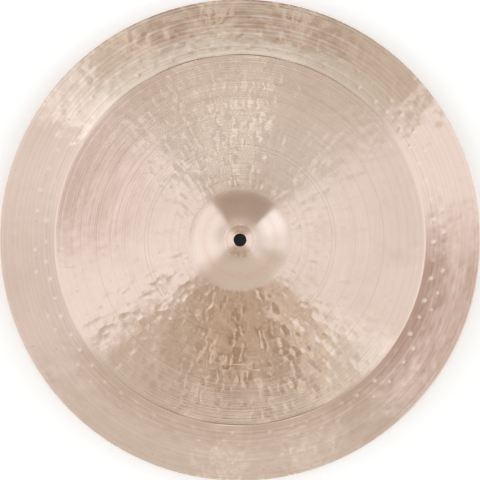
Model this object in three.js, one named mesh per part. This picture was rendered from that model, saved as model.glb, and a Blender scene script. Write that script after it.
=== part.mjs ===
// China cymbal: one plate of bronze, cast, rolled, cupped, hammered and turned.
//
// Units are millimetres and +Z is up. The plate lies as it does on a table: the cup in its
// middle stands up, the bow falls away from the cup to a bend, and outside the bend the rim
// turns up again, so the plate touches the table along the bend only. The origin is on the
// table, on the axis of the mounting hole.

import * as THREE from "three";

// Across the plate.
const DISC_DIAMETER = 457.2;
const HOLE_DIAMETER = 12.3;
const LAND_WIDTH = 6.85; // flat land round the hole, where the felts sit
const CUP_DIAMETER = 99; // over the foot of the cup
const FOOT_WIDTH = 3; // the rounding between the side of the cup and the bow
const RIM_WIDTH = 52.4; // from the middle of the lowest ring out to the edge
const CONTACT_WIDTH = 3; // the lowest ring is flat over this width
const INNER_BEND_WIDTH = 3; // from the bow to the lowest ring
const OUTER_BEND_WIDTH = 4; // from the lowest ring to the straight rim

// Heights of the top surface.
const CUP_HEIGHT = 20; // the land above the foot of the cup
const BOW_HEIGHT = 21.5; // the foot of the cup above the lowest ring
const RIM_HEIGHT = 15; // the edge above the lowest ring

// The steepest place on the cup, counted outwards and down from the land.
const FLANK_WIDTH_SHARE = 0.64;
const FLANK_DROP_SHARE = 0.54;

// Slopes of the top surface in degrees, positive where it rises outwards.
const FLANK_SLOPE = -50;
const CUP_END_SLOPE = -22;
const BOW_START_SLOPE = -4;
const BOW_END_SLOPE = -15;
const RIM_START_SLOPE = 19;
const EDGE_SLOPE = 16;

// Thickness of the plate, square to its surface.
const LAND_THICKNESS = 1.4;
const FOOT_THICKNESS = 1.2;
const BEND_THICKNESS = 0.8;
const EDGE_THICKNESS = 0.6;
const EDGE_ROUNDING = 0.2; // how far the middle of the edge stands out

// Hammer marks: broad dents in rows round the bow and the rim.
const MARK_PITCH = 24;
const MARK_RADIUS = 15;
const BOW_MARK_DEPTH = 0.45;
const RIM_MARK_DEPTH = 0.3;
const MARK_MARGIN = 0.8; // bare strip between the marks and the cup, the bend or the edge
const STRAY_SHARE = 0.3; // how far a mark strays from its even place, as a share of the pitch

// Fineness of the surface.
const FACET_LENGTH = 11;
const FEWEST_SIDES = 48;
const SIDES_STEP = 8; // each ring has a multiple of this many sides
const CROWN_STEPS = 5;
const FLANK_STEPS = 3;
const FOOT_STEPS = 2;
const BEND_STEPS = 2;
const HANDLE_SHARE = 1 / 3; // length of a curve's handles, as a share of its width

const GOLDEN_SHARE = (Math.sqrt(5) - 1) / 2;
const slopeOf = (degrees) => Math.tan(THREE.MathUtils.degToRad(degrees));
const facetsOver = (width) => Math.ceil(width / FACET_LENGTH);

// Radii of the top surface where one stretch of it ends and the next begins.
const landRadius = HOLE_DIAMETER / 2 + LAND_WIDTH;
const footRadius = CUP_DIAMETER / 2;
const cupEndRadius = footRadius - FOOT_WIDTH;
const lowestRadius = DISC_DIAMETER / 2 - RIM_WIDTH;
const contactStart = lowestRadius - CONTACT_WIDTH / 2;
const contactEnd = lowestRadius + CONTACT_WIDTH / 2;
const bowEnd = contactStart - INNER_BEND_WIDTH;
const rimStart = contactEnd + OUTER_BEND_WIDTH;

// The edge leans with the rim and is rounded, so the top surface ends a little inside the
// full diameter.
function edgeRadius() {
  const lean = THREE.MathUtils.degToRad(EDGE_SLOPE);
  const overhang = EDGE_ROUNDING * Math.cos(lean) + (EDGE_THICKNESS / 2) * Math.sin(lean);
  return DISC_DIAMETER / 2 - overhang;
}

// How much a rounding rises over its width, with its slope changing evenly along it.
function roundingRise(width, startSlope, endSlope) {
  return (width * (slopeOf(startSlope) + slopeOf(endSlope))) / 2;
}

// Stations along the top surface, each with the number of facets that lead to it. Heights
// are counted from the top of the lowest ring.
function stations() {
  const land = BOW_HEIGHT + CUP_HEIGHT;
  const cupEnd = BOW_HEIGHT - roundingRise(FOOT_WIDTH, CUP_END_SLOPE, BOW_START_SLOPE);
  return [
    {
      radius: HOLE_DIAMETER / 2,
      height: land,
      slope: 0,
      thickness: LAND_THICKNESS,
      facets: 0,
    },
    {
      radius: landRadius,
      height: land,
      slope: 0,
      thickness: LAND_THICKNESS,
      facets: 1,
    },
    {
      radius: THREE.MathUtils.lerp(landRadius, cupEndRadius, FLANK_WIDTH_SHARE),
      height: land - CUP_HEIGHT * FLANK_DROP_SHARE,
      slope: FLANK_SLOPE,
      thickness: (LAND_THICKNESS + FOOT_THICKNESS) / 2,
      facets: CROWN_STEPS,
    },
    {
      radius: cupEndRadius,
      height: cupEnd,
      slope: CUP_END_SLOPE,
      thickness: FOOT_THICKNESS,
      facets: FLANK_STEPS,
    },
    {
      radius: footRadius,
      height: BOW_HEIGHT,
      slope: BOW_START_SLOPE,
      thickness: FOOT_THICKNESS,
      facets: FOOT_STEPS,
    },
    {
      radius: bowEnd,
      height: -roundingRise(INNER_BEND_WIDTH, BOW_END_SLOPE, 0),
      slope: BOW_END_SLOPE,
      thickness: BEND_THICKNESS,
      facets: facetsOver(bowEnd - footRadius),
    },
    {
      radius: contactStart,
      height: 0,
      slope: 0,
      thickness: BEND_THICKNESS,
      facets: BEND_STEPS,
    },
    {
      radius: contactEnd,
      height: 0,
      slope: 0,
      thickness: BEND_THICKNESS,
      facets: 1,
    },
    {
      radius: rimStart,
      height: roundingRise(OUTER_BEND_WIDTH, 0, RIM_START_SLOPE),
      slope: RIM_START_SLOPE,
      thickness: BEND_THICKNESS,
      facets: BEND_STEPS,
    },
    {
      radius: edgeRadius(),
      height: RIM_HEIGHT,
      slope: EDGE_SLOPE,
      thickness: EDGE_THICKNESS,
      facets: facetsOver(edgeRadius() - rimStart),
    },
  ];
}

// The smooth curve from one station to the next, in the plane of radius and height.
function curveBetween(from, to) {
  const handle = (to.radius - from.radius) * HANDLE_SHARE;
  return new THREE.CubicBezierCurve(
    new THREE.Vector2(from.radius, from.height),
    new THREE.Vector2(from.radius + handle, from.height + handle * slopeOf(from.slope)),
    new THREE.Vector2(to.radius - handle, to.height - handle * slopeOf(to.slope)),
    new THREE.Vector2(to.radius, to.height),
  );
}

// One place on the section: the point on the top surface, the point straight through the
// plate from it, and the direction along the surface there.
function place(point, along, thickness) {
  const top = new THREE.Vector2(point.x, point.y + BEND_THICKNESS);
  const through = new THREE.Vector2(along.y, -along.x).multiplyScalar(thickness);
  return { top, under: through.add(top), along };
}

// The section of the plate from the hole out to the edge.
function section() {
  const [first, ...others] = stations();
  const start = new THREE.Vector2(first.radius, first.height);
  const places = [place(start, new THREE.Vector2(1, 0), first.thickness)];
  let from = first;
  for (const to of others) {
    const curve = curveBetween(from, to);
    for (let facet = 1; facet <= to.facets; facet++) {
      const share = facet / to.facets;
      const thickness = THREE.MathUtils.lerp(from.thickness, to.thickness, share);
      places.push(place(curve.getPoint(share), curve.getTangent(share), thickness));
    }
    from = to;
  }
  return places;
}

// A row of evenly spread marks, each strayed a little from its place.
function markRow(radius, depth, row) {
  const count = Math.round((2 * Math.PI * radius) / MARK_PITCH);
  return Array.from({ length: count }, (_, i) => {
    const stray = ((i * GOLDEN_SHARE + row * GOLDEN_SHARE) % 1) * 2 - 1;
    const turn = ((i + row * GOLDEN_SHARE) / count) * 2 * Math.PI;
    const far = radius + stray * STRAY_SHARE * MARK_PITCH;
    return { x: far * Math.cos(turn), y: far * Math.sin(turn), depth };
  });
}

// Rows of marks between two radii.
function markRows(inner, outer, depth) {
  const reach = MARK_RADIUS + STRAY_SHARE * MARK_PITCH + MARK_MARGIN;
  const room = outer - inner - 2 * reach;
  const gaps = Math.max(Math.floor(room / MARK_PITCH), 0);
  return Array.from({ length: gaps + 1 }, (_, row) =>
    markRow(inner + reach + (gaps ? (room * row) / gaps : room / 2), depth, row),
  ).flat();
}

const marks = [
  ...markRows(footRadius, bowEnd, BOW_MARK_DEPTH),
  ...markRows(rimStart, edgeRadius(), RIM_MARK_DEPTH),
];

// How deep the hammered surface lies below the smooth one.
function dent(x, y) {
  return marks.reduce((sum, mark) => {
    const share = Math.hypot(x - mark.x, y - mark.y) / MARK_RADIUS;
    return share < 1 ? sum + mark.depth * (1 - share * share) ** 2 : sum;
  }, 0);
}

// A ring of points round the axis at one radius and height, following the marks.
function ring(point) {
  const wanted = (2 * Math.PI * point.x) / FACET_LENGTH / SIDES_STEP;
  const sides = Math.max(Math.round(wanted) * SIDES_STEP, FEWEST_SIDES);
  return Array.from({ length: sides }, (_, i) => {
    const turn = (2 * Math.PI * i) / sides;
    const x = point.x * Math.cos(turn);
    const y = point.x * Math.sin(turn);
    return new THREE.Vector3(x, y, point.y - dent(x, y));
  });
}

// The rings in order: out over the top, round the edge, and back along the underside.
function rings() {
  const places = section();
  const last = places[places.length - 1];
  const middle = last.top.clone().lerp(last.under, 1 / 2);
  const edge = last.along.clone().multiplyScalar(EDGE_ROUNDING).add(middle);
  const top = places.map(({ top: point }) => ring(point));
  const under = places.map(({ under: point }) => ring(point)).reverse();
  return [...top, ring(edge), ...under];
}

// One closed surface through a loop of rings. Neighbouring rings can differ in their number
// of sides, so each triangle goes on along whichever ring is behind.
function plateGeometry(loop) {
  const starts = [];
  const positions = [];
  for (const points of loop) {
    starts.push(positions.length / 3);
    for (const p of points) positions.push(p.x, p.y, p.z);
  }
  const index = [];
  loop.forEach((a, k) => {
    const next = (k + 1) % loop.length;
    const b = loop[next];
    const onA = (i) => starts[k] + (i % a.length);
    const onB = (j) => starts[next] + (j % b.length);
    let i = 0;
    let j = 0;
    while (i < a.length || j < b.length) {
      if (j === b.length || (i < a.length && (i + 1) / a.length <= (j + 1) / b.length)) {
        index.push(onA(i), onB(j), onA(i + 1));
        i++;
      } else {
        index.push(onA(i), onB(j), onB(j + 1));
        j++;
      }
    }
  });
  const geometry = new THREE.BufferGeometry();
  geometry.setAttribute("position", new THREE.Float32BufferAttribute(positions, 3));
  geometry.setIndex(index);
  geometry.computeVertexNormals();
  return geometry;
}

const bronze = new THREE.MeshStandardMaterial({
  color: 0xe2c9b4,
  roughness: 0.35,
  metalness: 1,
});

const plate = new THREE.Mesh(plateGeometry(rings()), bronze);
plate.name = "cymbal_plate";

const cymbal = new THREE.Group();
cymbal.add(plate);

export default cymbal;
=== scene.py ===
import functools
import math
from collections import namedtuple

import bpy
import numpy as np
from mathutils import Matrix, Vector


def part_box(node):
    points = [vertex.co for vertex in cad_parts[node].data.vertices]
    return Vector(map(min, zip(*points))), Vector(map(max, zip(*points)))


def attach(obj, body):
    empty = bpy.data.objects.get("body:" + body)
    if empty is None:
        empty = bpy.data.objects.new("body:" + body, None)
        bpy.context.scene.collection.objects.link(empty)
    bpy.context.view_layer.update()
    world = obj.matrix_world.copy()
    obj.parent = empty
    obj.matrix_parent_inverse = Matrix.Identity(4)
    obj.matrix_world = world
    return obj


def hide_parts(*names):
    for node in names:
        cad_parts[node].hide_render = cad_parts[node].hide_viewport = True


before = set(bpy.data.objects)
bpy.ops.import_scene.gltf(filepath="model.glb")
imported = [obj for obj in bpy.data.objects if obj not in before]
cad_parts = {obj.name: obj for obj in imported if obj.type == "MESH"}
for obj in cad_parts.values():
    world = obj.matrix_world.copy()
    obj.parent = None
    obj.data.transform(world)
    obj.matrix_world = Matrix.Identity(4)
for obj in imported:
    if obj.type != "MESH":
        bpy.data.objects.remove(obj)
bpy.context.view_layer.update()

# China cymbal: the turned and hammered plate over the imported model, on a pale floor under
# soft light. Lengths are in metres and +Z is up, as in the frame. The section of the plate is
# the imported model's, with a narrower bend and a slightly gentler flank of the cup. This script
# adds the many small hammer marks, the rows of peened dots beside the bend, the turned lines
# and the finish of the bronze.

MM = 0.001
rng = np.random.default_rng(18)

# Across the plate.
_, plate_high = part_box("cymbal_plate")
DISC_RADIUS = plate_high[0]
LAND_HEIGHT = plate_high[2]
HOLE_RADIUS = 6.15 * MM
LAND_WIDTH = 6.85 * MM
FOOT_RADIUS = 49.5 * MM
FOOT_WIDTH = 3 * MM
RIM_WIDTH = 52.4 * MM
CONTACT_WIDTH = 0.4 * MM
BEND_WIDTH = 1.0 * MM

# Heights of the top surface above the top of its lowest ring.
CUP_HEIGHT = 20 * MM
RIM_HEIGHT = 15 * MM
FLANK_WIDTH_SHARE = 0.64
FLANK_DROP_SHARE = 0.54

# Slopes of the top surface in degrees, positive where it rises outwards.
FLANK_SLOPE = -45
CUP_END_SLOPE = -22
BOW_START_SLOPE = -4
BOW_END_SLOPE = -15
RIM_START_SLOPE = 19
EDGE_SLOPE = 16

# Thickness of the plate.
LAND_THICKNESS = 1.4 * MM
FOOT_THICKNESS = 1.2 * MM
BEND_THICKNESS = 0.8 * MM
EDGE_THICKNESS = 0.6 * MM
EDGE_ROUNDING = 0.2 * MM
EDGE_CLEARANCE = 0.01 * MM
BOW_HEIGHT = LAND_HEIGHT - BEND_THICKNESS - CUP_HEIGHT

LAND_RADIUS = HOLE_RADIUS + LAND_WIDTH
CUP_END_RADIUS = FOOT_RADIUS - FOOT_WIDTH
LOWEST_RADIUS = DISC_RADIUS - RIM_WIDTH
CONTACT_START = LOWEST_RADIUS - CONTACT_WIDTH / 2
CONTACT_END = LOWEST_RADIUS + CONTACT_WIDTH / 2
BOW_END = CONTACT_START - BEND_WIDTH
RIM_START = CONTACT_END + BEND_WIDTH

# How far apart the rings of the mesh lie on the top face, and how much farther on the underside.
LAND_SPACING = 0.9 * MM
FLANK_SPACING = 1.2 * MM
CUP_SPACING = 1.1 * MM
FOOT_SPACING = 0.6 * MM
BOW_SPACING = 1.7 * MM
BEND_SPACING = 0.26 * MM
CONTACT_SPACING = 0.4 * MM
RIM_SPACING = 1.05 * MM
UNDER_COARSENESS = 2.8

# The end of one stretch of the section, with the spacing of the rings that lead up to it.
Station = namedtuple("Station", "radius height slope thickness spacing")


def slope_of(degrees):
    return math.tan(math.radians(degrees))


def rounding_rise(width, start_slope, end_slope):
    return width * (slope_of(start_slope) + slope_of(end_slope)) / 2


def edge_radius():
    """Radius of the edge's top corner, from which the rounded edge reaches the disc's radius."""
    lean = math.radians(EDGE_SLOPE)
    reach = EDGE_ROUNDING * math.cos(lean) + EDGE_THICKNESS / 2 * math.sin(lean)
    return DISC_RADIUS - reach - EDGE_CLEARANCE


def stations():
    """The stations of the top surface, from the hole to the edge."""
    land = BOW_HEIGHT + CUP_HEIGHT
    flank = LAND_RADIUS + (CUP_END_RADIUS - LAND_RADIUS) * FLANK_WIDTH_SHARE
    flank_end = land - CUP_HEIGHT * FLANK_DROP_SHARE
    cup_end = BOW_HEIGHT - rounding_rise(FOOT_WIDTH, CUP_END_SLOPE, BOW_START_SLOPE)
    bow_end = -rounding_rise(BEND_WIDTH, BOW_END_SLOPE, 0)
    rim_start = rounding_rise(BEND_WIDTH, 0, RIM_START_SLOPE)
    middle = (LAND_THICKNESS + FOOT_THICKNESS) / 2
    return [
        Station(HOLE_RADIUS, land, 0, LAND_THICKNESS, 0),
        Station(LAND_RADIUS, land, 0, LAND_THICKNESS, LAND_SPACING),
        Station(flank, flank_end, FLANK_SLOPE, middle, FLANK_SPACING),
        Station(CUP_END_RADIUS, cup_end, CUP_END_SLOPE, FOOT_THICKNESS, CUP_SPACING),
        Station(FOOT_RADIUS, BOW_HEIGHT, BOW_START_SLOPE, FOOT_THICKNESS, FOOT_SPACING),
        Station(BOW_END, bow_end, BOW_END_SLOPE, BEND_THICKNESS, BOW_SPACING),
        Station(CONTACT_START, 0, 0, BEND_THICKNESS, BEND_SPACING),
        Station(CONTACT_END, 0, 0, BEND_THICKNESS, CONTACT_SPACING),
        Station(RIM_START, rim_start, RIM_START_SLOPE, BEND_THICKNESS, BEND_SPACING),
        Station(edge_radius(), RIM_HEIGHT, EDGE_SLOPE, EDGE_THICKNESS, RIM_SPACING),
    ]


def bezier(points, share):
    """Place and unit direction at a share of a cubic curve with four points."""
    left = 1 - share
    weights = np.array([left**3, 3 * left**2 * share, 3 * left * share**2, share**3])
    along = np.array([left**2, 2 * left * share, share**2]) @ np.diff(points, axis=0)
    return weights @ points, along / np.linalg.norm(along)


# A point of the section: its place, the direction there (run outwards, rise upwards) and the
# thickness of the plate.
Row = namedtuple("Row", "radius height run rise thickness")


def section(coarseness):
    """Points along the top surface, joined from station to station by cubic curves."""
    rows = [Row(HOLE_RADIUS, BOW_HEIGHT + CUP_HEIGHT, 1.0, 0.0, LAND_THICKNESS)]
    listed = stations()
    for start, end in zip(listed, listed[1:]):
        width = end.radius - start.radius
        handle = width / 3
        points = np.array([
            (start.radius, start.height),
            (start.radius + handle, start.height + handle * slope_of(start.slope)),
            (end.radius - handle, end.height - handle * slope_of(end.slope)),
            (end.radius, end.height),
        ])
        count = math.ceil(width / (end.spacing * coarseness))
        for share in np.arange(1, count + 1) / count:
            place, along = bezier(points, share)
            thickness = start.thickness + (end.thickness - start.thickness) * share
            rows.append(Row(*place, *along, thickness))
    return rows


# Hammer marks: the rings that each group fills, how far apart its marks lie, and their usual
# radius and depth. There are slight ones on the cup, and broad and small ones on bow and rim.
MarkGroup = namedtuple("MarkGroup", "inner outer pitch radius depth")
MARK_GROUPS = (
    MarkGroup(18 * MM, 42 * MM, 11 * MM, 9 * MM, 0.03 * MM),
    MarkGroup(58 * MM, 166 * MM, 19 * MM, 16 * MM, 0.10 * MM),
    MarkGroup(56 * MM, 168 * MM, 7 * MM, 6 * MM, 0.035 * MM),
    MarkGroup(190 * MM, 224 * MM, 17 * MM, 14 * MM, 0.08 * MM),
    MarkGroup(184 * MM, 224 * MM, 7 * MM, 6 * MM, 0.035 * MM),
)

# How far a mark strays, as a share of the pitch, and the least and the most of its group's
# radius and depth, as shares.
MARK_STRAY = 0.35
MARK_RADII = (0.7, 1.2)
MARK_DEPTHS = (0.2, 1.7)

# Peened dots: a row inside the bend and two outside it, with where each row starts as a share of
# a dot's turn. A dot's strays are a share of that turn and a length outwards.
DOTS_ROUND = 62
DotRow = namedtuple("DotRow", "radius start depth")
DOT_ROWS = (
    DotRow(169.5 * MM, 0.5, 0.06 * MM),
    DotRow(185 * MM, 0.0, 0.20 * MM),
    DotRow(195 * MM, 0.5, 0.15 * MM),
)
DOT_TURN_STRAY = 0.07
DOT_STRAY = 0.8 * MM
DOT_RADII = (2.1 * MM, 2.8 * MM)
DOT_DEPTHS = (0.1, 1.3)

Marks = namedtuple("Marks", "places radii depths")


def round_places(radius, turn):
    return np.column_stack([radius * np.cos(turn), radius * np.sin(turn)])


def joined(groups):
    return Marks(*(np.concatenate(part) for part in zip(*groups)))


def scattered(inner, outer, pitch):
    """Places in rings between two radii, each strayed from its even place."""
    spots = []
    for radius in np.arange(inner, outer, pitch):
        count = round(2 * math.pi * radius / pitch)
        turn = (np.arange(count) + rng.random()) * 2 * math.pi / count
        turn = turn + rng.normal(0, MARK_STRAY, count) * 2 * math.pi / count
        far = radius + rng.normal(0, MARK_STRAY, count) * pitch
        spots.append(round_places(far, turn))
    return np.concatenate(spots)


def hammer_marks():
    """Every hammer mark that the mesh holds."""
    groups = []
    for group in MARK_GROUPS:
        places = scattered(group.inner, group.outer, group.pitch)
        radii = group.radius * rng.uniform(*MARK_RADII, len(places))
        depths = group.depth * rng.uniform(*MARK_DEPTHS, len(places))
        groups.append(Marks(places, radii, depths))
    return joined(groups)


def peened_dots():
    """Small round dots from a pointed punch."""
    groups = []
    for row in DOT_ROWS:
        stray = rng.normal(0, DOT_TURN_STRAY, DOTS_ROUND)
        turn = (np.arange(DOTS_ROUND) + row.start + stray) * 2 * math.pi / DOTS_ROUND
        far = row.radius + rng.normal(0, DOT_STRAY, DOTS_ROUND)
        radii = rng.uniform(*DOT_RADII, DOTS_ROUND)
        depths = row.depth * rng.uniform(*DOT_DEPTHS, DOTS_ROUND)
        groups.append(Marks(round_places(far, turn), radii, depths))
    return joined(groups)


def dents(marks, places):
    """How far the marks lower the surface at each of many places."""
    drop = np.zeros(len(places))
    order = np.argsort(places[:, 0])
    x_sorted = places[order, 0]
    for (x, y), radius, depth in zip(marks.places, marks.radii, marks.depths):
        first, last = np.searchsorted(x_sorted, (x - radius, x + radius))
        near = order[first:last]
        share = ((places[near, 0] - x) ** 2 + (places[near, 1] - y) ** 2) / radius**2
        inside = share < 1
        drop[near[inside]] += depth * (1 - share[inside]) ** 2
    return drop


hammered = hammer_marks()
peened = peened_dots()

# Turned lines: uneven on the bow, and a wave on the rim whose pitch and depth wander a little.
# The noises that they follow reach past the edge of the disc.
BOW_LINE_DEPTH = 0.008 * MM
RIM_LINE_DEPTH = 0.009 * MM
RIM_LINE_PITCH = 4.2 * MM
RIM_LINE_STRAY = 0.7 * MM
RIM_LINE_UNEVENNESS = 0.3
LINE_RUN_IN = 4 * MM
NOISE_LENGTH = 0.3


class WaveNoise:
    """Even noise between -1 and 1 along a line, with about one wave for each two pitches."""

    def __init__(self, pitch):
        self.pitch = pitch
        self.values = rng.uniform(-1, 1, math.ceil(NOISE_LENGTH / pitch))

    def __call__(self, at):
        index = np.clip(at / self.pitch, 0, len(self.values) - 2)
        low = index.astype(int)
        share = index - low
        share = share * share * (3 - 2 * share)
        return self.values[low] * (1 - share) + self.values[low + 1] * share


bow_lines = WaveNoise(pitch=2.9 * MM)
rim_pitch_noise = WaveNoise(pitch=9 * MM)
rim_depth_noise = WaveNoise(pitch=7 * MM)


def turned_lines(radius):
    """Height of the turned lines at each radius."""
    phase = (radius + rim_pitch_noise(radius) * RIM_LINE_STRAY) / RIM_LINE_PITCH
    evenness = 1 - RIM_LINE_UNEVENNESS + RIM_LINE_UNEVENNESS * rim_depth_noise(radius)
    rim = np.sin(2 * math.pi * phase) * evenness * RIM_LINE_DEPTH
    bow = bow_lines(radius) * BOW_LINE_DEPTH
    on_rim = np.clip((radius - RIM_START) / LINE_RUN_IN, 0, 1)
    on_bow = np.clip((radius - FOOT_RADIUS) / LINE_RUN_IN, 0, 1)
    return bow * on_bow + rim * on_rim


# Mesh of the plate. Its rings have more sides the larger they are: each number holds up to its
# radius, and a coarser ring keeps a multiple of the step.
RING_SIDES = (
    (12 * MM, 64),
    (24 * MM, 128),
    (60 * MM, 240),
    (100 * MM, 368),
    (140 * MM, 496),
    (math.inf, 608),
)
SIDES_STEP = 8

# How strongly the points of a ring gather round the dots, and how far from a row of them.
GATHERING = 0.55
GATHER_REACH = 6 * MM

# The marks fade out towards the ring that lies on the table, over this height, and towards the
# edge, over this width.
CONTACT_FADE = 1.5 * MM
EDGE_FADE = 3 * MM

# The depth at which the punch has fully burnished the metal, and the layer that holds how far. The
# dots' lighter colour is also a painted highlight.
FULL_PEEN = 0.09 * MM
PEEN_LAYER = "peened"

# Steps of the rounded edge, from one corner to the other.
EDGE_STEPS = 4


def sides_at(radius, coarseness):
    sides = next(sides for limit, sides in RING_SIDES if radius < limit)
    return round(sides / coarseness / SIDES_STEP) * SIDES_STEP


def turns(radius, count):
    """Angles of a ring's points, gathered round the dots where the ring passes a row of them."""
    turn = np.arange(count) / count
    for row in DOT_ROWS:
        near = max(1 - abs(radius - row.radius) / GATHER_REACH, 0)
        cell = 2 * math.pi * (DOTS_ROUND * np.arange(count) / count - row.start)
        turn = turn - near * GATHERING * np.sin(cell) / (2 * math.pi * DOTS_ROUND)
    return turn * 2 * math.pi


def depth_share(rows):
    """Share of the marks' depth that is kept at each row."""
    radius = np.array([row.radius for row in rows])
    height = np.array([row.height for row in rows])
    clear = np.clip(height / CONTACT_FADE, 0, 1)
    return clear * np.clip((edge_radius() - radius) / EDGE_FADE, 0, 1)


def face_rings(rows, coarseness, under):
    """Rings of one face of the plate, from the hole outwards, with its marks and lines."""
    sides = [sides_at(row.radius, coarseness) for row in rows]
    flats = [round_places(1, turns(row.radius, count)) for row, count in zip(rows, sides)]
    places = np.concatenate([flat * row.radius for flat, row in zip(flats, rows)])
    drop = dents(hammered, places) + dents(peened, places)
    drops = np.split(drop, np.cumsum(sides)[:-1])
    lines = turned_lines(np.array([row.radius for row in rows]))
    rings = []
    for row, flat, lower, line, share in zip(rows, flats, drops, lines, depth_share(rows)):
        lower = (lower - line) * share
        depth = lower + row.thickness if under else lower
        out = row.radius + row.rise * depth
        up = row.height + BEND_THICKNESS - row.run * depth
        rings.append(np.column_stack([flat * out[:, None], up]))
    return rings


def stitch(a_start, a_count, b_start, b_count):
    """Faces between two rings, which can differ in their number of points."""
    if a_count == b_count:
        i = np.arange(a_count)
        j = (i + 1) % a_count
        return np.column_stack([a_start + i, b_start + i, b_start + j, a_start + j]).tolist()
    faces = []
    i = j = 0
    while i < a_count or j < b_count:
        a, b = a_start + i % a_count, b_start + j % b_count
        if j == b_count or (i < a_count and (i + 1) / a_count <= (j + 1) / b_count):
            i += 1
            faces.append((a, b, a_start + i % a_count))
        else:
            j += 1
            faces.append((a, b, b_start + j % b_count))
    return faces


def edge_rings(outer_top, outer_under, row):
    """Rings round the outer edge, from its top corner to its under corner."""
    flat = outer_top[:, :2] / np.linalg.norm(outer_top[:, :2], axis=1)[:, None]
    rings = []
    for angle in np.linspace(0, math.pi, EDGE_STEPS + 1)[1:-1]:
        share = (1 - math.cos(angle)) / 2
        bulge = EDGE_ROUNDING * math.sin(angle)
        place = outer_top * (1 - share) + outer_under * share
        out = np.column_stack([flat * row.run * bulge, np.full(len(flat), row.rise * bulge)])
        rings.append(place + out)
    return rings


def build_plate():
    """One closed mesh: the top face, the rounded edge, the under face and the hole's wall."""
    top_rows = section(1.0)
    top = face_rings(top_rows, 1.0, under=False)
    under = face_rings(section(UNDER_COARSENESS), UNDER_COARSENESS, under=True)
    [under_edge] = face_rings(top_rows[-1:], 1.0, under=True)
    edge = edge_rings(top[-1], under_edge, top_rows[-1])
    loop = top + edge + [under_edge] + under[:-1][::-1]
    starts = np.cumsum([0] + [len(ring) for ring in loop])
    faces = []
    for k, ring in enumerate(loop):
        after = (k + 1) % len(loop)
        faces += stitch(starts[k], len(ring), starts[after], len(loop[after]))
    points = np.concatenate(loop)
    mesh = bpy.data.meshes.new("plate")
    mesh.from_pydata(points.tolist(), [], faces)
    mesh.update()
    mesh.shade_smooth()
    # How far each point lies in a dot. It makes the dot rougher and paints it lighter, partly
    # burnished metal and partly a painted highlight.
    burnish_and_highlight = np.clip(dents(peened, points[:, :2]) / FULL_PEEN, 0, 1)
    layer = mesh.attributes.new(PEEN_LAYER, "FLOAT", "POINT")
    layer.data.foreach_set("value", burnish_and_highlight.astype(np.float32))
    plate = bpy.data.objects.new("hammered_plate", mesh)
    bpy.context.collection.objects.link(plate)
    return plate


# Node trees. The sockets of a Mix node that mixes colours: the two colours and the result.
MIX_FIRST = 6
MIX_SECOND = 7
MIX_RESULT = 2

UP = (0, 0, 1)


class NodeMaker:
    """Adds nodes to a tree and links them, so that a formula reads as a chain of calls."""

    def __init__(self, tree):
        self.nodes, self.links = tree.nodes, tree.links

    def new(self, kind, inputs=(), **settings):
        node = self.nodes.new("ShaderNode" + kind)
        for name, value in settings.items():
            setattr(node, name, value)
        for key, value in dict(inputs).items():
            if isinstance(value, bpy.types.NodeSocket):
                self.links.new(value, node.inputs[key])
            else:
                node.inputs[key].default_value = value
        return node

    def math(self, operation, *values):
        return self.new("Math", enumerate(values), operation=operation).outputs[0]

    def total(self, *values):
        return functools.reduce(functools.partial(self.math, "ADD"), values)

    def product(self, *values):
        return functools.reduce(functools.partial(self.math, "MULTIPLY"), values)

    def vector(self, operation, *values):
        return self.new("VectorMath", enumerate(values), operation=operation).outputs[0]

    def dot(self, first, second):
        node = self.new("VectorMath", {0: first, 1: second}, operation="DOT_PRODUCT")
        return node.outputs["Value"]

    def scaled(self, vector, scale):
        node = self.new("VectorMath", {0: vector, "Scale": scale}, operation="SCALE")
        return node.outputs[0]

    def parts(self, vector):
        return self.new("SeparateXYZ", {0: vector}).outputs

    def ramp(self, value, start, end, low=0.0, high=1.0):
        """Runs smoothly from low at start to high at end."""
        limits = {"From Min": start, "From Max": end, "To Min": low, "To Max": high}
        inputs = {"Value": value, **limits}
        return self.new("MapRange", inputs, interpolation_type="SMOOTHSTEP").outputs[0]

    def mix(self, share, first, second):
        inputs = {0: share, MIX_FIRST: first, MIX_SECOND: second}
        return self.new("Mix", inputs, data_type="RGBA").outputs[MIX_RESULT]

    def noise(self, dimensions, size, detail=0.0, **place):
        """Noise about zero, with waves about as long as its size."""
        inputs = {"Scale": 1 / size, "Detail": detail, **place}
        node = self.new("TexNoise", inputs, noise_dimensions=dimensions)
        return self.math("SUBTRACT", node.outputs["Fac"], 0.5)

    def polar(self, place):
        """Radius and azimuth in degrees round the Z axis, and the height."""
        x, y, z = self.parts(place)
        squares = self.total(self.product(x, x), self.product(y, y))
        azimuth = self.math("DEGREES", self.math("ARCTAN2", y, x))
        return self.math("SQRT", squares), azimuth, z


# Relief of the bronze that is too fine for the mesh. Every tilt is the tangent of its angle.
# First each set of turned lines: how far apart they lie and how much they tilt the surface on
# the bow, and the share of that on the rim.
LINE_SETS = ((3.6 * MM, 0.05), (1.4 * MM, 0.10), (0.6 * MM, 0.22))
RIM_LINE_SHARE = 0.17

# The close-set shallow dents of the hammer, in rings round the plate: how many a full turn holds,
# what is added to that beyond each radius, how long they are outwards, how much they and their
# unevenness tilt the surface, how softly they meet and how far they stray from even places.
INNER_DENTS_ROUND = 64
ADDED_DENTS = ((84 * MM, 28), (124 * MM, 28))
DENT_REACH = 9 * MM
DENT_TILT_AROUND = 0.052
DENT_TILT_OUTWARDS = 0.03
DENT_UNEVENNESS = 0.06
DENT_SMOOTHNESS = 0.22
DENT_STRAY = 0.7
RIM_DENT_SHARE = 0.45

# Only some dents come out: none below the first chance and all above the second. Each has a
# strength of its own, from the least one to that and the added one.
STRUCK_FROM = 0.36
STRUCK_TO = 0.5
LEAST_STRENGTH = 0.7
ADDED_STRENGTH = 0.8

# Between the dents the tool leaves a fine brushed grain: its size as a share of a dent's, and
# how much it tilts the surface.
BRUSHED_SIZE = 1 / 18
BRUSHED_TILT = 0.13

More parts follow.
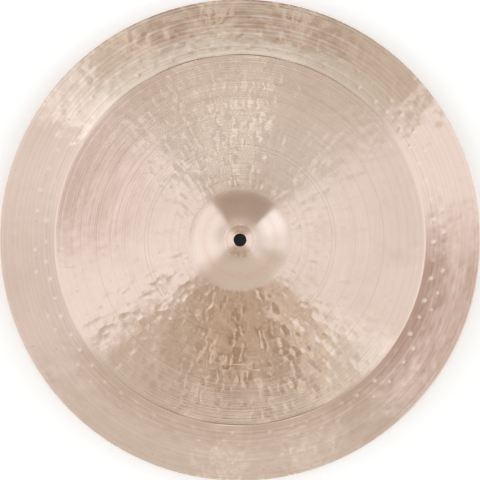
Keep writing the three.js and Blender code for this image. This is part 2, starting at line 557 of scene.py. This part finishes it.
# Beside the bend the marks fade, from all of their tilt at the farther distance to a share of it
# at the nearer one.
BEND_CLEAR = 1 * MM
BEND_FADE = 7 * MM
BEND_SHARE = 0.1

# The smoother cup has a share of it too, and past its foot the marks come to the whole of it.
CUP_SHARE = 0.15
FOOT_RUN_IN = 4 * MM

# The small marks between the dents: how wide and deep they are, and their finer detail.
HAMMER_GRAIN = 5 * MM
HAMMER_DEPTH = 0.04 * MM
HAMMER_DETAIL = 0.5


def line_slope(make, radius):
    """Slope outwards of the turned lines."""
    sets = []
    for pitch, tangent in LINE_SETS:
        sets.append(make.product(make.noise("1D", pitch, W=radius), tangent))
    share = make.ramp(radius, BOW_END, RIM_START, 1.0, RIM_LINE_SHARE)
    return make.product(make.total(*sets), share)


def dent_space(make, radius, outwards):
    """A place in a space where a dent is one unit long and about one wide."""
    dents_round = INNER_DENTS_ROUND
    for limit, added in ADDED_DENTS:
        beyond = make.math("GREATER_THAN", radius, limit)
        dents_round = make.math("MULTIPLY_ADD", beyond, added, dents_round)
    turn = make.scaled(outwards, make.math("DIVIDE", dents_round, 2 * math.pi))
    far = make.new("CombineXYZ", {"Z": make.product(radius, 1 / DENT_REACH)}).outputs[0]
    return make.vector("ADD", turn, far)


def dent_cells(make, spot):
    """The middle of the dent that each place belongs to, as Position, and its chances, as Color."""
    inputs = {"Vector": spot, "Scale": 1.0, "Smoothness": DENT_SMOOTHNESS, "Randomness": DENT_STRAY}
    kind = {"voronoi_dimensions": "3D", "feature": "SMOOTH_F1"}
    return make.new("TexVoronoi", inputs, **kind).outputs


def small_marks(make, place, worked):
    """The normal of the plate with the small marks between its dents."""
    grain = {"Vector": place, "Scale": 1 / HAMMER_GRAIN, "Detail": HAMMER_DETAIL}
    height = make.new("TexNoise", grain).outputs["Fac"]
    inputs = {"Height": height, "Strength": worked, "Distance": HAMMER_DEPTH}
    return make.new("Bump", inputs).outputs["Normal"]


def turned_normal(make, place):
    """The surface's normal, tilted outwards and sideways by the lines, the dents and the grain."""
    radius, _, _ = make.polar(place)
    outwards = make.vector("NORMALIZE", make.vector("MULTIPLY", place, (1, 1, 0)))
    around = make.vector("CROSS_PRODUCT", UP, outwards)
    from_bend = make.math("ABSOLUTE", make.math("SUBTRACT", radius, LOWEST_RADIUS))
    beside_bend = make.ramp(from_bend, BEND_CLEAR, BEND_FADE, BEND_SHARE, 1.0)
    past_cup = make.ramp(radius, CUP_END_RADIUS, FOOT_RADIUS + FOOT_RUN_IN, CUP_SHARE, 1.0)
    worked = make.product(past_cup, beside_bend)
    dented = make.product(worked, make.ramp(radius, BOW_END, RIM_START, 1.0, RIM_DENT_SHARE))

    spot = dent_space(make, radius, outwards)
    cells = dent_cells(make, spot)
    inwards = make.scaled(make.vector("SUBTRACT", cells["Position"], spot), dented)
    chance, strength, _ = make.parts(cells["Color"])
    struck = make.ramp(chance, STRUCK_FROM, STRUCK_TO)
    strength = make.math("MULTIPLY_ADD", strength, ADDED_STRENGTH, LEAST_STRENGTH)
    depth = make.product(struck, strength)
    upwards = make.product(make.dot(inwards, UP), depth, DENT_TILT_OUTWARDS)
    sideways = make.product(make.dot(inwards, around), depth, DENT_TILT_AROUND)

    uneven = make.noise("3D", 1.0, detail=1.0, Vector=spot)
    uneven = make.product(uneven, DENT_UNEVENNESS, worked)
    plain = make.product(make.math("SUBTRACT", 1.0, struck), dented)
    grain = make.product(make.noise("3D", BRUSHED_SIZE, Vector=spot), BRUSHED_TILT, plain)
    sideways = make.total(sideways, uneven, grain)
    upwards = make.total(line_slope(make, radius), upwards)

    tilt = make.vector("ADD", make.scaled(outwards, upwards), make.scaled(around, sideways))
    return make.vector("NORMALIZE", make.vector("ADD", small_marks(make, place, worked), tilt))


# The colour of clean bronze; the lighter colour of the peened dots and the worn edge, which on the
# dots is partly burnished metal and partly a painted highlight; and the darker colour of the patina
# and of the painted shade in the turned lines.
CLEAN = (0.85, 0.665, 0.565, 1)
BURNISHED_AND_PAINTED_HIGHLIGHT = (0.89, 0.72, 0.62, 1)
DARKENED_AND_SHADED = (0.72, 0.55, 0.45, 1)

# What darkens the bronze, as patina in the clouds and specks and as painted shade in the turned
# lines: the size of the noise that spreads it, the levels of that noise between which it sets in,
# and how dark it gets.
Darkening = namedtuple("Darkening", "size start end darkness")
CLOUDS = Darkening(45 * MM, -0.05, 0.3, 0.4)
# The fine dark lines on the bow and their groups are painted shade of the turned lines.
LINE_SHADE = Darkening(1.7 * MM, 0.05, 0.25, 0.4)
LINE_SHADE_GROUPS = Darkening(14 * MM, -0.05, 0.15, 1.0)
SPECKS = Darkening(2.5 * MM, 0.27, 0.34, 0.7)
CLOUD_DETAIL = 4.0
LINE_SHADE_RUN_IN = 6 * MM

# The rim is painted darker in grooves as far apart as its turned lines, a painted shade of those
# lines, which sets in at a level of their wave. Their phase wanders by up to about half of these
# radians.
GROOVE_SHADE = 0.2
GROOVE_LEVEL = -0.8
GROOVE_WANDER = 6.0
GROOVE_WANDER_SIZE = 12 * MM

# The dark ring that the stand's felt leaves round the hole: from how far it starts to fade and
# where it ends, how dark it is, and how much of that shows where there is no cloud.
FELT_RING_RADIUS = 12.6 * MM
FELT_RING_CORE = 0.3 * MM
FELT_RING_REACH = 1.2 * MM
FELT_RING_DARKNESS = 0.6
FELT_RING_EVENNESS = 0.6

# The worn outer edge: its width, the width where it is fully worn, and how bright that is.
WORN_EDGE = 1.8 * MM
FULLY_WORN_EDGE = 0.3 * MM
WEAR = 0.8

# Roughness, and what the cup and the dots add to it. The cup's share runs in and out over two
# pairs of radii, and a dot's between two depths, as shares of a full one.
BOW_ROUGHNESS = 0.175
RIM_ROUGHNESS = 0.14
CUP_ROUGHNESS = 0.10
DOT_ROUGHNESS = 0.09
CUP_RUN_IN = (13 * MM, 17 * MM)
CUP_RUN_OUT = (46 * MM, 52 * MM)
DOT_DEPTH_RUN = (0.1, 0.9)

# The lathe's fine lines stretch each reflection along the radius.
STRETCH = 1.0
QUARTER_TURN = 0.25


def darkening_of(make, stain, dimensions, detail=0.0, **place):
    level = make.noise(dimensions, stain.size, detail, **place)
    return make.ramp(level, stain.start, stain.end, 0.0, stain.darkness)


def patina_and_line_shade(make, place):
    """How far the bronze is darkened at each place, from 0 to 1: patina in the clouds, the specks
    and the felt ring, and painted shade in the turned lines on the bow and the grooves on the rim.
    """
    radius, _, _ = make.polar(place)
    clouds = darkening_of(make, CLOUDS, "3D", CLOUD_DETAIL, Vector=place)
    specks = darkening_of(make, SPECKS, "3D", Vector=place)
    # Painted shade of the turned lines: fine lines and their groups on the bow, and the grooves on
    # the rim below.
    fine = darkening_of(make, LINE_SHADE, "1D", W=radius)
    grouped = darkening_of(make, LINE_SHADE_GROUPS, "1D", W=radius)
    on_bow = make.ramp(radius, FOOT_RADIUS, FOOT_RADIUS + LINE_SHADE_RUN_IN)
    lines = make.product(fine, grouped, on_bow)

    wander = make.product(make.noise("1D", GROOVE_WANDER_SIZE, W=radius), GROOVE_WANDER)
    phase = make.math("MULTIPLY_ADD", radius, 2 * math.pi / RIM_LINE_PITCH, wander)
    wave = make.ramp(make.math("SINE", phase), GROOVE_LEVEL, 1.0)
    on_rim = make.ramp(radius, RIM_START, RIM_START + LINE_RUN_IN, 0.0, GROOVE_SHADE)
    grooves = make.product(wave, on_rim)

    from_ring = make.math("ABSOLUTE", make.math("SUBTRACT", radius, FELT_RING_RADIUS))
    felt = make.ramp(from_ring, FELT_RING_CORE, FELT_RING_REACH, FELT_RING_DARKNESS, 0.0)
    felt = make.product(felt, make.total(clouds, FELT_RING_EVENNESS))
    return make.math("MINIMUM", make.total(clouds, lines, grooves, specks, felt), 1.0)


def bronze_material():
    material = bpy.data.materials.new("turned_bronze")
    material.use_nodes = True
    make = NodeMaker(material.node_tree)
    shader = material.node_tree.nodes["Principled BSDF"]
    shader.inputs["Metallic"].default_value = 1.0
    shader.inputs["Anisotropic"].default_value = STRETCH
    shader.inputs["Anisotropic Rotation"].default_value = QUARTER_TURN
    peen = make.new("Attribute", attribute_name=PEEN_LAYER).outputs["Fac"]
    place = make.new("TexCoord").outputs["Object"]
    radius, _, _ = make.polar(place)

    worn = make.ramp(radius, DISC_RADIUS - WORN_EDGE, DISC_RADIUS - FULLY_WORN_EDGE, 0.0, WEAR)
    # Lighter on the peened dots, partly burnished metal and partly a painted highlight, and on the
    # worn edge.
    bright = make.math("MAXIMUM", peen, worn)
    colour = make.mix(bright, make.mix(patina_and_line_shade(make, place), CLEAN, DARKENED_AND_SHADED), BURNISHED_AND_PAINTED_HIGHLIGHT)
    make.links.new(colour, shader.inputs["Base Color"])

    cup = make.product(make.ramp(radius, *CUP_RUN_IN), make.ramp(radius, *CUP_RUN_OUT, 1.0, 0.0))
    rough = make.ramp(radius, BOW_END, RIM_START, BOW_ROUGHNESS, RIM_ROUGHNESS)
    dots = make.ramp(peen, *DOT_DEPTH_RUN, 0.0, DOT_ROUGHNESS)
    rough = make.total(rough, make.product(cup, CUP_ROUGHNESS), dots)
    make.links.new(rough, shader.inputs["Roughness"])

    make.links.new(turned_normal(make, place), shader.inputs["Normal"])
    tangent = make.new("Tangent", direction_type="RADIAL", axis="Z")
    make.links.new(tangent.outputs["Tangent"], shader.inputs["Tangent"])
    return material


plate = build_plate()
plate.data.materials.append(bronze_material())
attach(plate, "root")
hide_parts("cymbal_plate")


# Floor.
FLOOR_REACH = 12.0
FLOOR_COLOUR = (0.9, 0.9, 0.9, 1)
FLOOR_ROUGHNESS = 0.9
FLOOR_GLOW = 0.3
WHITE = (1, 1, 1, 1)


def build_floor():
    """A pale floor that looks white in plain view and to reflections, and keeps the shadow. Its
    glow fades out under the plate, a painted shade beneath it.
    """
    mesh = bpy.data.meshes.new("floor")
    half = FLOOR_REACH
    corners = [(-half, -half, 0), (half, -half, 0), (half, half, 0), (-half, half, 0)]
    mesh.from_pydata(corners, [], [(0, 1, 2, 3)])
    floor = bpy.data.objects.new("floor", mesh)
    bpy.context.collection.objects.link(floor)
    material = bpy.data.materials.new("pale_floor")
    material.use_nodes = True
    make = NodeMaker(material.node_tree)
    shader = material.node_tree.nodes["Principled BSDF"]
    shader.inputs["Base Color"].default_value = FLOOR_COLOUR
    shader.inputs["Roughness"].default_value = FLOOR_ROUGHNESS
    shader.inputs["Emission Color"].default_value = WHITE
    path = make.new("LightPath").outputs
    plain = make.math("MAXIMUM", path["Is Camera Ray"], path["Is Glossy Ray"])
    plain = make.math("MAXIMUM", plain, path["Is Transmission Ray"])
    radius, _, _ = make.polar(make.new("TexCoord").outputs["Object"])
    # The glow fades out under the plate: a painted shade beneath the plate, on top of its real
    # shadow.
    floor_glow_and_painted_shade = make.ramp(radius, LOWEST_RADIUS, DISC_RADIUS, 0.0, FLOOR_GLOW)
    make.links.new(make.product(plain, floor_glow_and_painted_shade), shader.inputs["Emission Strength"])
    mesh.materials.append(material)


build_floor()

# The studio round the plate. Each soft box spans azimuths and elevations in degrees, and its
# borders run out smoothly over the blurs on either side.
SoftBox = namedtuple("SoftBox", "azimuths azimuth_blurs elevations elevation_blurs colour")
ROUND = (-180, 180)
STUDIO_BOXES = {
    "warm_room_low": SoftBox(ROUND, (0, 0), (-90, 40), (1, 20), (0.46, 0.42, 0.37)),
    "warm_room_high": SoftBox(ROUND, (0, 0), (40, 91), (20, 1), (0.42, 0.33, 0.25)),
    "right_low": SoftBox((-16, 43), (10, 5), (-60, 42), (5, 8), (0.68, 0.82, 0.94)),
    "right_low_bright": SoftBox((10, 43), (14, 5), (-60, 42), (5, 8), (0.26, 0.36, 0.44)),
    "right_middle": SoftBox((-46, 34), (8, 8), (42, 59), (8, 3), (0.37, 0.45, 0.52)),
    "right_middle_bright": SoftBox((-46, -8), (8, 14), (42, 59), (8, 3), (0.20, 0.25, 0.28)),
    "right_high": SoftBox((-45, 38), (9, 7), (60, 91), (4, 1), (0.43, 0.52, 0.61)),
    "right_top": SoftBox((-45, 38), (9, 7), (72, 91), (7, 1), (0.22, 0.27, 0.30)),
    "left_low": SoftBox((126, 215), (6, 14), (-60, 44), (5, 8), (0.78, 0.92, 1.04)),
    "left_middle": SoftBox((136, 219), (8, 8), (44, 60), (8, 3), (0.56, 0.68, 0.79)),
    "left_high": SoftBox((135, 216), (8, 8), (60, 91), (3, 1), (0.56, 0.66, 0.76)),
    "left_top": SoftBox((135, 216), (8, 8), (72, 91), (6, 1), (0.12, 0.15, 0.18)),
    "front_low": SoftBox((213, 344), (10, 10), (-60, 38), (5, 10), (0.31, 0.35, 0.34)),
    "front_middle": SoftBox((221, 319), (8, 8), (44, 59.3), (8, 2), (0.38, 0.56, 0.63)),
    "front_middle_bright": SoftBox((248, 319), (14, 8), (46, 59), (4, 2), (0.24, 0.30, 0.33)),
    "front_high": SoftBox((219, 315), (8, 8), (60, 91), (3, 1), (0.07, 0.05, 0.01)),
    "front_left_high": SoftBox((210, 244), (6, 10), (60, 84), (3, 4), (0.12, 0.16, 0.18)),
    "front_right_high": SoftBox((296, 320), (8, 6), (60, 84), (3, 4), (0.08, 0.10, 0.11)),
    "back_middle": SoftBox((38, 122), (8, 8), (50, 60), (6, 3), (0.26, 0.30, 0.32)),
    "back_high": SoftBox((37, 139), (8, 8), (60, 83), (3, 3), (0.38, 0.50, 0.57)),
    "back_strip": SoftBox((84, 88), (2, 2), (67, 80), (2, 3), (1.35, 1.50, 1.50)),
    "back_strip_left": SoftBox((105, 109), (2, 2), (67, 80), (2, 3), (1.15, 1.28, 1.28)),
    "front_strip_left": SoftBox((253, 257), (2, 2), (66, 80), (3, 3), (1.50, 1.62, 1.56)),
    "front_strip": SoftBox((275, 279), (2, 2), (66, 80), (3, 3), (1.70, 1.84, 1.76)),
    "front_strip_right": SoftBox((297, 301), (2, 2), (66, 78), (3, 3), (1.30, 1.42, 1.38)),
    "right_strip": SoftBox((-38, -33), (2, 2), (50, 60), (3, 3), (0.50, 0.60, 0.66)),
}

# Flags hold light back in the same way.
FLAGS = {
    "left_flag": SoftBox((136, 182), (8, 14), (48, 60), (4, 2), (0.72, 0.90, 1.00)),
    "front_flag": SoftBox((243, 297), (14, 12), (60, 84), (1, 4), (0.22, 0.24, 0.22)),
    "back_top_flag": SoftBox((45, 132), (10, 10), (84, 91), (3, 1), (0.26, 0.20, 0.15)),
}


def span(make, value, limits, blurs):
    """One inside two limits and nothing outside them, with a smooth run at each."""
    low, high = limits
    rise = make.ramp(value, low - blurs[0], low + blurs[0])
    fall = make.ramp(value, high - blurs[1], high + blurs[1], 1.0, 0.0)
    return make.product(rise, fall)


def weight(make, box, azimuth, elevation):
    """How much of a soft box's light comes from each direction."""
    share = span(make, elevation, box.elevations, box.elevation_blurs)
    if box.azimuths == ROUND:
        return share
    start, end = box.azimuths
    half = (end - start) / 2
    from_middle = make.math("SUBTRACT", azimuth, (start + end) / 2)
    turn = make.math("WRAP", from_middle, 180.0, -180.0)
    return make.product(share, span(make, turn, (-half, half), box.azimuth_blurs))


def build_studio():
    """A world that is the soft boxes less the flags, and plain white where it is seen itself."""
    world = bpy.data.worlds.new("studio")
    world.use_nodes = True
    make = NodeMaker(world.node_tree)
    _, azimuth, height = make.polar(make.new("TexCoord").outputs["Generated"])
    elevation = make.math("DEGREES", make.math("ARCSINE", height))
    light = make.new("CombineXYZ").outputs[0]
    for operation, boxes in (("ADD", STUDIO_BOXES), ("SUBTRACT", FLAGS)):
        for box in boxes.values():
            part = make.scaled(box.colour, weight(make, box, azimuth, elevation))
            light = make.vector(operation, light, part)
    light = make.vector("MAXIMUM", light, (0, 0, 0))
    path = make.new("LightPath").outputs
    seen = make.math("MAXIMUM", path["Is Camera Ray"], path["Is Transmission Ray"])
    background = world.node_tree.nodes["Background"]
    make.links.new(make.mix(seen, light, WHITE), background.inputs["Color"])
    bpy.context.scene.world = world


build_studio()


# The camera looks straight down on the plate, which fills the frame.
CAMERA_DISTANCE = 6.0
FRAME_PIXELS = 480
RADIUS_PIXELS = 240.6
SENSOR_WIDTH = 36


def build_camera():
    data = bpy.data.cameras.new("camera")
    data.sensor_fit = "HORIZONTAL"
    data.sensor_width = SENSOR_WIDTH
    data.lens = SENSOR_WIDTH * CAMERA_DISTANCE / DISC_RADIUS * RADIUS_PIXELS / FRAME_PIXELS
    data.clip_end = 2 * FLOOR_REACH
    camera = bpy.data.objects.new("camera", data)
    camera.location = (0, 0, RIM_HEIGHT + CAMERA_DISTANCE)
    bpy.context.collection.objects.link(camera)
    bpy.context.scene.camera = camera


build_camera()
bpy.context.scene.view_settings.view_transform = "Standard"
